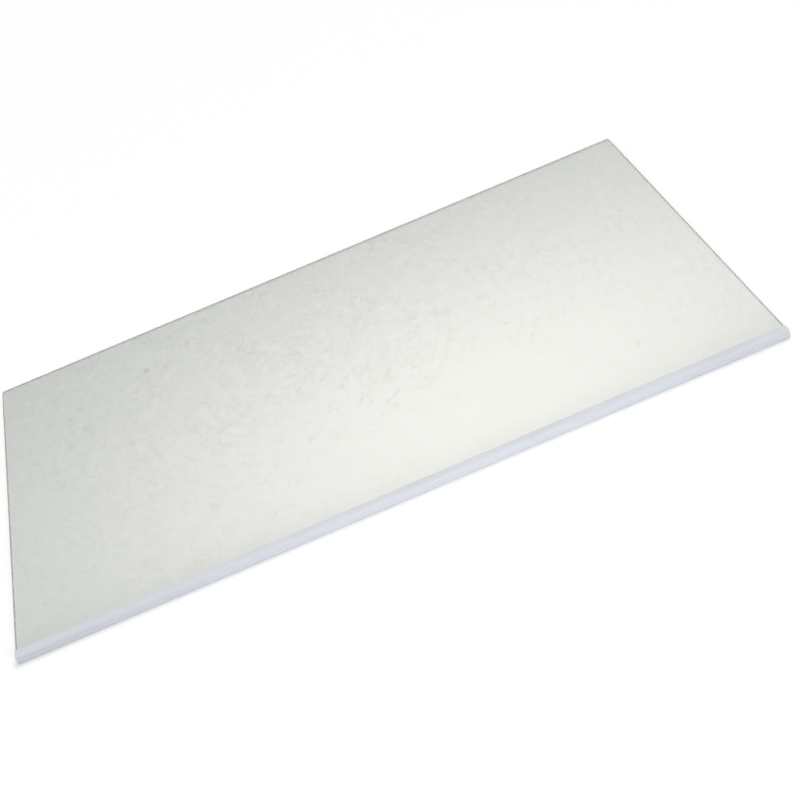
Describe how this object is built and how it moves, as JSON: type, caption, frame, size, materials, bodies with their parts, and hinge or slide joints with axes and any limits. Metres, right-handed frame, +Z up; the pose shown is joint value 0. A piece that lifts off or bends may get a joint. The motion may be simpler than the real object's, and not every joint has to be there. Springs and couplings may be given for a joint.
{
  "type": "fridge glass shelf",
  "caption": "Flat rectangular clear-glass refrigerator shelf with ground edges and a push-on plastic channel trim along its front edge; it rests on side ledges and carries food.",
  "frame": {"origin": "on the surface the shelf rests on, under the middle of its outline", "axes": "+X along the front edge to the right, +Y towards the back of the fridge, +Z up"},
  "size_m": [0.475, 0.29, 0.0058],
  "materials": {
    "clear_glass": "clear float glass, polished faces, finely ground edges, light wipe marks",
    "white_trim": "semi-gloss bluish-white extruded plastic"
  },
  "bodies": {
    "root": {"glass_pane": "clear_glass", "front_trim": "white_trim"}
  },
  "joints": []
}
